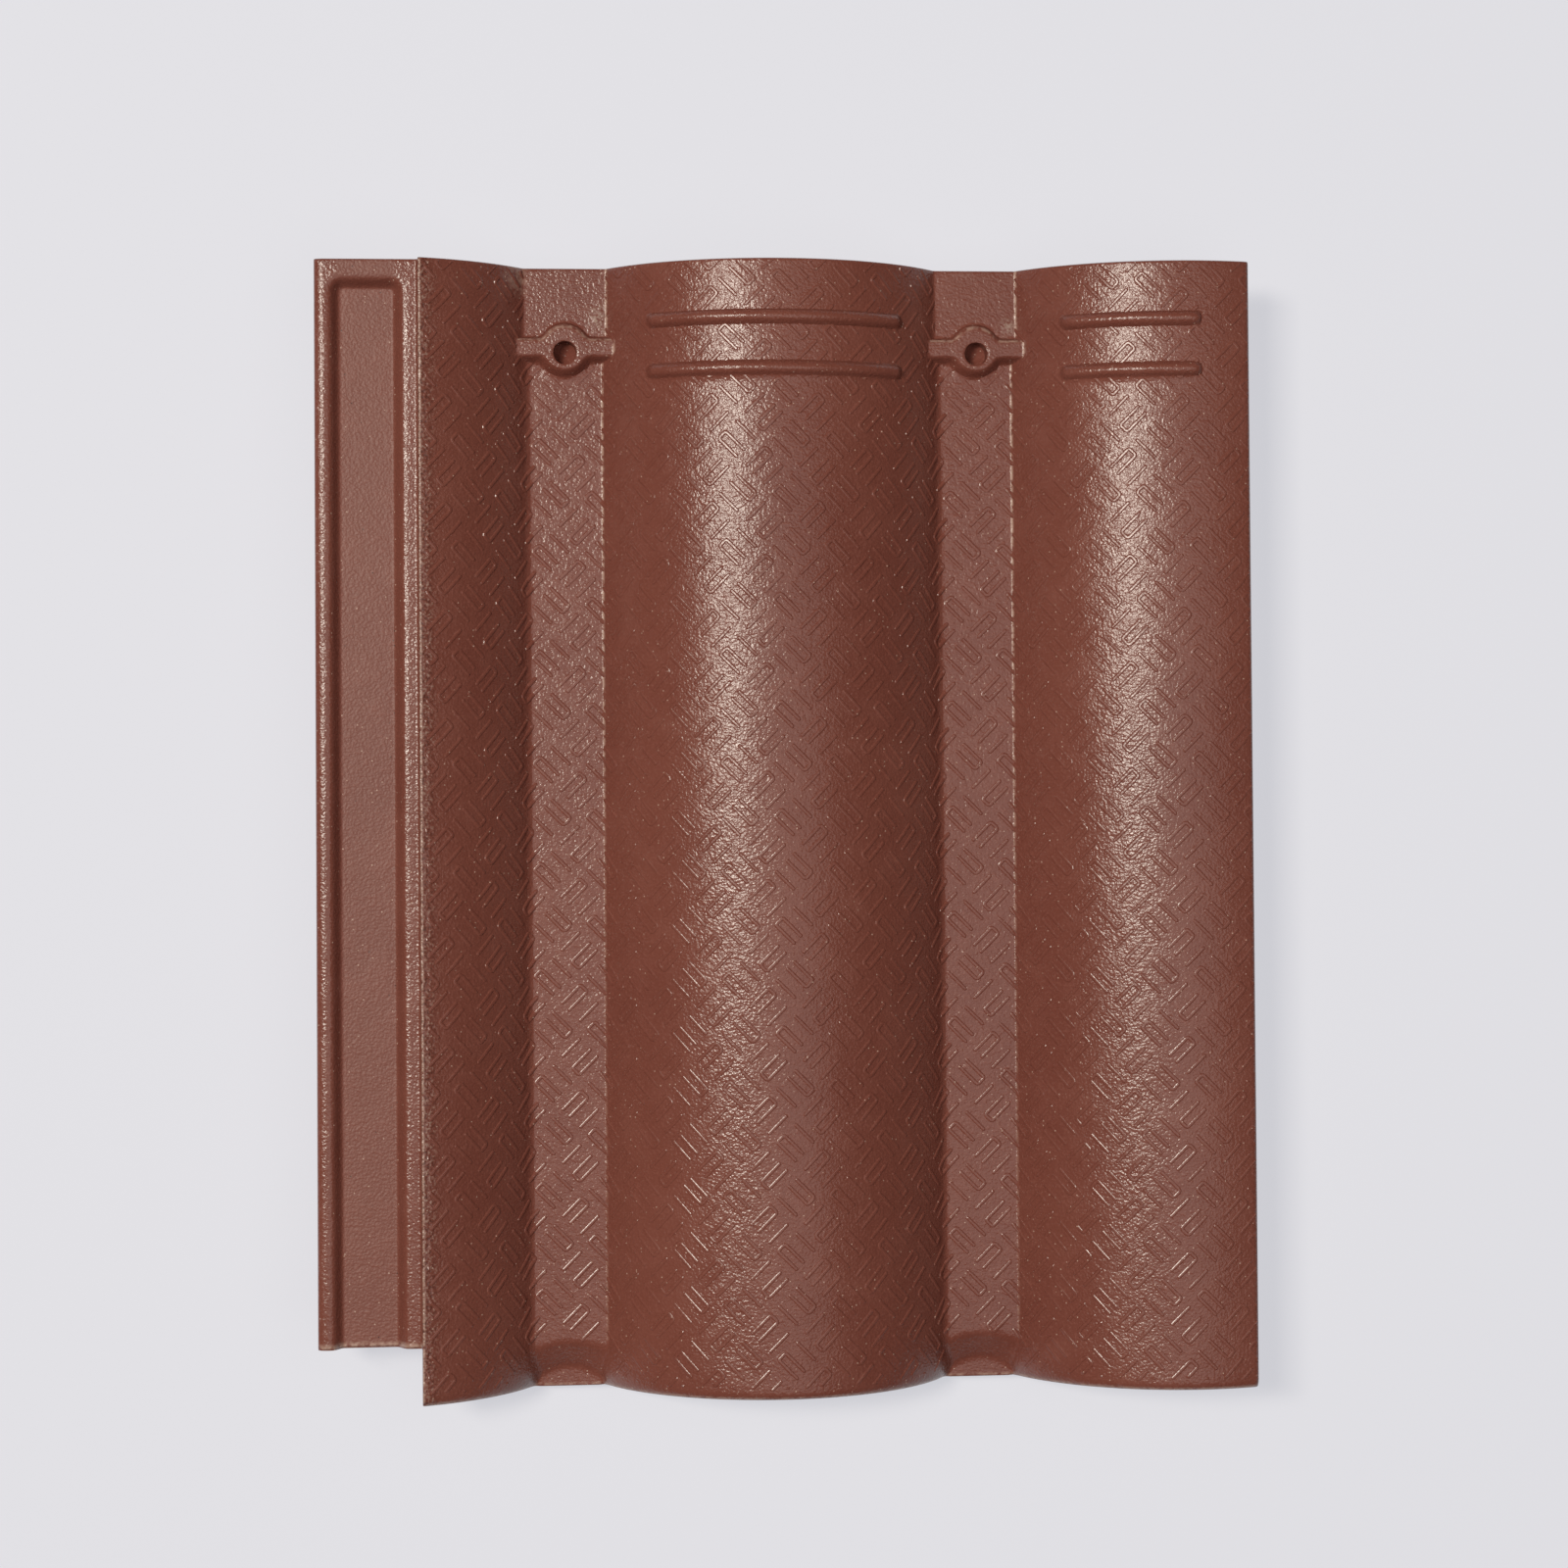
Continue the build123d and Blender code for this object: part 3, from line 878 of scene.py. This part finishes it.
def stroke_bead(tree, curve, size):
    """A low ridge along a stroke: a level top, two slopes, ends drawn in and feet sunk in the face."""
    run = put(tree, "GeometryNodeSplineParameter").outputs["Length"]
    whole = put(tree, "GeometryNodeSplineLength").outputs["Length"]
    from_end = maths(tree, "MINIMUM", run, maths(tree, "SUBTRACT", whole, run))
    half_width = maths(tree, "MULTIPLY", size["Stroke Width"], 0.5)
    inward = maths(tree, "MINIMUM", maths(tree, "DIVIDE", from_end, half_width), 1.0)
    short = maths(tree, "SUBTRACT", 1.0, inward)
    taper = maths(tree, "SQRT", maths(tree, "SUBTRACT", 1.0, maths(tree, "MULTIPLY", short, short)))
    scale = maths(tree, "MAXIMUM", taper, 0.3)
    levels = [maths(tree, "MULTIPLY", size["Stroke Height"], -up) for up in arch_up]
    arch = stroke_curve(tree, arch_across, levels, half_width)
    ring = put(tree, "GeometryNodeSetSplineCyclic", {0: arch, "Cyclic": True}).outputs[0]
    return put(tree, "GeometryNodeCurveToMesh", {
        "Curve": curve, "Profile Curve": ring, "Scale": scale, "Fill Caps": True}).outputs[0]


# %% Nodes for the lattices


def bare_ground(tree, spot):
    """1 for blocks off the face, on the head pads and bosses, and on the noses."""
    across, along = spot.outputs["X"], spot.outputs["Y"]
    off = [
        maths(tree, "LESS_THAN", across, flat_left - block_reach),
        maths(tree, "GREATER_THAN", across, flat_right + block_reach),
        maths(tree, "LESS_THAN", along, tail - block_reach / 2),
        maths(tree, "GREATER_THAN", along, head + block_reach / 2),
    ]
    at_head = maths(tree, "GREATER_THAN", along, boss_line - block_reach / 2)
    at_nose = maths(tree, "LESS_THAN", along, tail + nose_run)
    pan_end = maths(tree, "ADD", at_head, at_nose)
    for flat_pan in flat_pans:
        aside = maths(tree, "ABSOLUTE", maths(tree, "SUBTRACT", across, flat_pan))
        off.append(maths(tree, "MULTIPLY", maths(tree, "LESS_THAN", aside, pan_bare), pan_end))
    total = off[0]
    for part in off[1:]:
        total = maths(tree, "ADD", total, part)
    return total


def lattice(tree, block, size, half_step, turn):
    """Blocks on one of the two lattices, every second one turned end for end."""
    span, first = {}, {}
    for way, count in blocks.items():
        span[way] = maths(tree, "MULTIPLY", size["Pitch " + way], count - 1.0)
        first[way] = maths(tree, "MULTIPLY_ADD", size["Pitch " + way], half_step, size["First " + way])
    grid = put(tree, "GeometryNodeMeshGrid", {
        "Size X": span["Across"], "Size Y": span["Along"],
        "Vertices X": blocks["Across"], "Vertices Y": blocks["Along"]}).outputs[0]
    start = put(tree, "ShaderNodeCombineXYZ", {"X": first["Across"], "Y": first["Along"]}).outputs[0]
    moved = put(tree, "GeometryNodeSetPosition", {"Geometry": grid, "Offset": start}).outputs[0]
    spot = put(tree, "ShaderNodeSeparateXYZ", {0: put(tree, "GeometryNodeInputPosition").outputs[0]})
    number = []
    for axis, way in (("X", "Across"), ("Y", "Along")):
        gone = maths(tree, "SUBTRACT", spot.outputs[axis], first[way])
        number.append(maths(tree, "ROUND", maths(tree, "DIVIDE", gone, size["Pitch " + way])))
    odd = maths(tree, "FLOORED_MODULO", maths(tree, "ADD", *number), 2.0)
    spin = put(tree, "ShaderNodeCombineXYZ", {"Z": maths(tree, "MULTIPLY_ADD", odd, math.pi, turn)}).outputs[0]
    facing = put(tree, "FunctionNodeEulerToRotation", {0: spin}).outputs[0]
    kept = put(tree, "GeometryNodeDeleteGeometry", {
        "Geometry": moved, "Selection": bare_ground(tree, spot)}).outputs[0]
    return put(tree, "GeometryNodeInstanceOnPoints", {
        "Points": kept, "Instance": block, "Rotation": facing}).outputs[0]


# %% Nodes that lay the flat weave on the tile


def clear_of_forms(tree, weave):
    """Leaves out every stroke that would show in a nail hole or reach into a nose."""
    spot = put(tree, "GeometryNodeInputPosition").outputs[0]
    flat = put(tree, "ShaderNodeSeparateXYZ", {0: spot}).outputs
    at_nose = maths(tree, "LESS_THAN", flat["Y"], tail + nose_run - nose_clear)
    near = 0.0
    for flat_pan in flat_pans:
        aside = maths(tree, "ABSOLUTE", maths(tree, "SUBTRACT", flat["X"], flat_pan))
        in_nose = maths(tree, "LESS_THAN", aside, nose_mouth / 2)
        near = maths(tree, "MULTIPLY_ADD", in_nose, at_nose, near)
        gap = put(tree, "ShaderNodeVectorMath", {0: spot, 1: (flat_pan, nail_line, 0)}, operation="DISTANCE")
        near = maths(tree, "ADD", near, maths(tree, "LESS_THAN", gap.outputs["Value"], bore + nail_clear))
    stroke = put(tree, "GeometryNodeInputMeshIsland").outputs[0]
    touched = put(tree, "GeometryNodeAccumulateField", {"Value": near, "Group ID": stroke}, data_type="FLOAT")
    return put(tree, "GeometryNodeDeleteGeometry", {
        "Geometry": weave, "Selection": touched.outputs["Total"]}).outputs[0]


def laid_on(tree, weave, carrier):
    """Every point of the flat weave at its place on the carrier; past the margins it sinks under the face."""
    spot = put(tree, "ShaderNodeSeparateXYZ", {0: put(tree, "GeometryNodeInputPosition").outputs[0]})
    limits = {
        "X": (flat_left + left_margin, flat_right - right_margin),
        "Y": (tail + tail_margin, head - head_margin),
    }
    held = {}
    past = 0.0
    for axis, (low, high) in limits.items():
        held[axis] = maths(tree, "MINIMUM", maths(tree, "MAXIMUM", spot.outputs[axis], low), high)
        over = maths(tree, "ABSOLUTE", maths(tree, "SUBTRACT", spot.outputs[axis], held[axis]))
        past = maths(tree, "ADD", over, past)
    level = maths(tree, "SUBTRACT", spot.outputs["Z"], maths(tree, "MINIMUM", past, deepest))
    flat = put(tree, "ShaderNodeCombineXYZ", held).outputs[0]
    carried = put(tree, "GeometryNodeInputNamedAttribute", {"Name": "flat_place"}, data_type="FLOAT_VECTOR")
    found = []
    for kind in ("GeometryNodeInputPosition", "GeometryNodeInputNormal"):
        value = put(tree, kind).outputs[0]
        sample = put(tree, "GeometryNodeSampleUVSurface", data_type="FLOAT_VECTOR")
        sources = {"Mesh": carrier, "Value": value, "UV Map": carried.outputs[0], "Sample UV": flat}
        for key, source in sources.items():
            tree.links.new(source, sample.inputs[key])
        found.append(sample.outputs[0])
    place, normal = found
    rise = put(tree, "ShaderNodeVectorMath", {0: normal, "Scale": level}, operation="SCALE").outputs[0]
    laid = put(tree, "ShaderNodeVectorMath", {0: place, 1: rise}, operation="ADD").outputs[0]
    return put(tree, "GeometryNodeSetPosition", {"Geometry": weave, "Position": laid}).outputs[0]


# %% The whole tree
leg_places = [-1.0, -0.9, 0.0, 1.0, 1.0, 0.0, -0.9, -1.0]
single_places = [-1.0, -0.9, 0.0, 0.9, 1.0]


def weave_tree():
    tree = bpy.data.node_groups.new("basket_weave", "GeometryNodeTree")
    tree.interface.new_socket("Carrier", in_out="INPUT", socket_type="NodeSocketGeometry")
    for name in stroke_sizes:
        tree.interface.new_socket(name, in_out="INPUT", socket_type="NodeSocketFloat")
    tree.interface.new_socket("Coat", in_out="INPUT", socket_type="NodeSocketMaterial")
    tree.interface.new_socket("Strokes", in_out="OUTPUT", socket_type="NodeSocketGeometry")
    size = put(tree, "NodeGroupInput").outputs
    half = maths(tree, "MULTIPLY", size["Stroke Length"], 0.5)
    outer, inner = size["Outer Offset"], size["Inner Offset"]
    lower = maths(tree, "MULTIPLY", outer, -1.0)
    single = stroke_curve(tree, single_places, [lower] * len(single_places), half)
    corners = stroke_curve(tree, leg_places, [outer] * 4 + [inner] * 4, half)
    hairpin = put(tree, "GeometryNodeFilletCurve", {
        "Curve": corners, "Count": 3, "Radius": size["Hairpin Round"], "Limit Radius": True,
    }, mode="POLY").outputs[0]
    block = put(tree, "GeometryNodeJoinGeometry")
    for curve in (single, hairpin):
        tree.links.new(stroke_bead(tree, curve, size), block.inputs[0])
    weave = put(tree, "GeometryNodeJoinGeometry")
    for half_step, turn in ((0.0, 45), (0.5, 315)):
        laid_out = lattice(tree, block.outputs[0], size, half_step, math.radians(turn))
        tree.links.new(laid_out, weave.inputs[0])
    loose = put(tree, "GeometryNodeRealizeInstances", {"Geometry": weave.outputs[0]}).outputs[0]
    laid = laid_on(tree, clear_of_forms(tree, loose), size["Carrier"])
    merged = put(tree, "GeometryNodeMergeByDistance", {"Geometry": laid, "Distance": HAIR / 4}).outputs[0]
    crisp = put(tree, "GeometryNodeSetShadeSmooth", {"Geometry": merged, "Shade Smooth": False}).outputs[0]
    plain = put(tree, "GeometryNodeRealizeInstances", {"Geometry": crisp}).outputs[0]
    coated = put(tree, "GeometryNodeSetMaterial", {"Geometry": plain, "Material": size["Coat"]}).outputs[0]
    put(tree, "NodeGroupOutput", {0: coated})
    return tree


# %% Make the strokes a plain mesh


def made_by(tree, carrier, sizes, name):
    """Runs a tree on a carrier and returns an object with the result as its own mesh."""
    piece = bpy.data.objects.new(name, carrier)
    bpy.context.scene.collection.objects.link(piece)
    modifier = piece.modifiers.new(name, "NODES")
    modifier.node_group = tree
    for item in tree.interface.items_tree:
        if item.name in sizes:
            modifier[item.identifier] = sizes[item.name]
    evaluated = piece.evaluated_get(bpy.context.evaluated_depsgraph_get())
    mesh = bpy.data.meshes.new_from_object(evaluated)
    piece.modifiers.clear()
    piece.data = mesh
    bpy.data.meshes.remove(carrier)
    mesh.name = name
    return piece


strokes = made_by(weave_tree(), carrier_mesh(), {**stroke_sizes, "Coat": coat}, "raised_strokes")
stroke_mesh = strokes.data
polish = stroke_mesh.attributes.new("polish", "FLOAT", "POINT")
polish.data.foreach_set("value", np.ones(len(stroke_mesh.vertices), np.float32))
stroke_triangles = sum(len(p.vertices) - 2 for p in stroke_mesh.polygons)
print("strokes:", len(stroke_mesh.vertices), "points,", stroke_triangles, "triangles")

# %% Tie the pieces to the model
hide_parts("roof_tile")
for piece in (tile_body, strokes):
    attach(piece, "root")

# %% [markdown]
# ## Camera
#
# The picture looks straight down on the tile's left half, so its left flanks show and its right ones are
# narrow. The lens, the place and the small turns below put the corners of the tile where the picture has them.

# %% Place the camera
image_size = 1600
focal_pixels = 3416
sensor = 36
camera_place = (-0.1117, 0.0249, 1.2795)
camera_turns = {"Z": 0.301, "Y": 5.098, "X": -1.196}
image_shift = -0.06

camera_data = bpy.data.cameras.new("camera")
camera_data.sensor_width = sensor
camera_data.lens = focal_pixels / image_size * sensor
camera_data.shift_y = image_shift
camera_data.clip_start = 0.05
camera = bpy.data.objects.new("camera", camera_data)
bpy.context.scene.collection.objects.link(camera)
bpy.context.scene.camera = camera
turned = Matrix.Identity(3)
for axis, angle in camera_turns.items():
    turned = turned @ Matrix.Rotation(math.radians(angle), 3, axis)
camera.matrix_world = Matrix.Translation(camera_place) @ turned.transposed().to_4x4()
print("lens in mm:", round(camera_data.lens, 1))

# %% [markdown]
# ## Floor and light
#
# The floor is a wide pale matt sheet that keeps the tile's shadow. One warm lamp, up to the left and towards
# the head, does most of the lighting: it draws a bright line along each roll and leaves the right-hand flanks
# dark. A weak, wide panel straight above gives the pans and the channel their soft sheen, and a faint, even
# world fills the shadows.

# %% Floor
floor_mesh = bpy.data.meshes.new("floor")
floor_reach = 30.0
floor_corners = [(x * floor_reach, y * floor_reach, 0) for x, y in ((-1, -1), (1, -1), (1, 1), (-1, 1))]
floor_mesh.from_pydata(floor_corners, [], [(0, 1, 2, 3)])
floor = bpy.data.objects.new("floor", floor_mesh)
bpy.context.scene.collection.objects.link(floor)
floor_colour = (0.745, 0.75, 0.795, 1)
glow_colour = (0.815, 0.818, 0.877, 1)
own_light = 0.7


def pale_sheet():
    """Matt floor that also glows a little to the camera and in reflections, which evens it out."""
    sheet = bpy.data.materials.new("pale_floor")
    sheet.use_nodes = True
    tree = sheet.node_tree
    matt = tree.nodes["Principled BSDF"]
    matt.inputs["Base Color"].default_value = floor_colour
    matt.inputs["Roughness"].default_value = 0.9
    glow = put(tree, "ShaderNodeEmission", {"Color": glow_colour, "Strength": 1.0})
    path = put(tree, "ShaderNodeLightPath").outputs
    seen = path["Is Camera Ray"]
    for ray in ("Is Glossy Ray", "Is Transmission Ray"):
        seen = maths(tree, "MAXIMUM", seen, path[ray])
    share = maths(tree, "MULTIPLY", seen, own_light)
    both = put(tree, "ShaderNodeMixShader", {0: share, 1: matt.outputs[0], 2: glow.outputs[0]})
    tree.links.new(both.outputs[0], tree.nodes["Material Output"].inputs["Surface"])
    return sheet


floor_mesh.materials.append(pale_sheet())

# %% Light
fill_strength = 0.015
key_place, key_aim = (-1.30, 0.54, 3.0), (0, 0, 0)
key_size, key_watts = (0.46, 0.8), 81.0
panel_place, panel_aim = (0.3, -0.15, 1.4), (0.3, -0.15, 0)
panel_size, panel_watts = (0.9, 1.15), 3.9
key_warmth, panel_warmth = (1, 0.93, 0.82), (1, 0.98, 0.94)


def area_lamp(name, place, aim, size, watts, warmth):
    """A flat lamp at a place that looks at an aim."""
    data = bpy.data.lights.new(name, "AREA")
    data.shape = "RECTANGLE"
    data.size, data.size_y = size
    data.energy = watts
    data.color = warmth
    lamp = bpy.data.objects.new(name, data)
    bpy.context.scene.collection.objects.link(lamp)
    lamp.location = place
    lamp.rotation_euler = (Vector(aim) - Vector(place)).to_track_quat("-Z", "Y").to_euler()


area_lamp("key", key_place, key_aim, key_size, key_watts, key_warmth)
area_lamp("panel", panel_place, panel_aim, panel_size, panel_watts, panel_warmth)

world = bpy.data.worlds.new("studio")
bpy.context.scene.world = world
world.use_nodes = True
background = world.node_tree.nodes["Background"]
background.inputs["Color"].default_value = (1, 1, 1, 1)
background.inputs["Strength"].default_value = fill_strength
bpy.context.scene.view_settings.view_transform = "Standard"
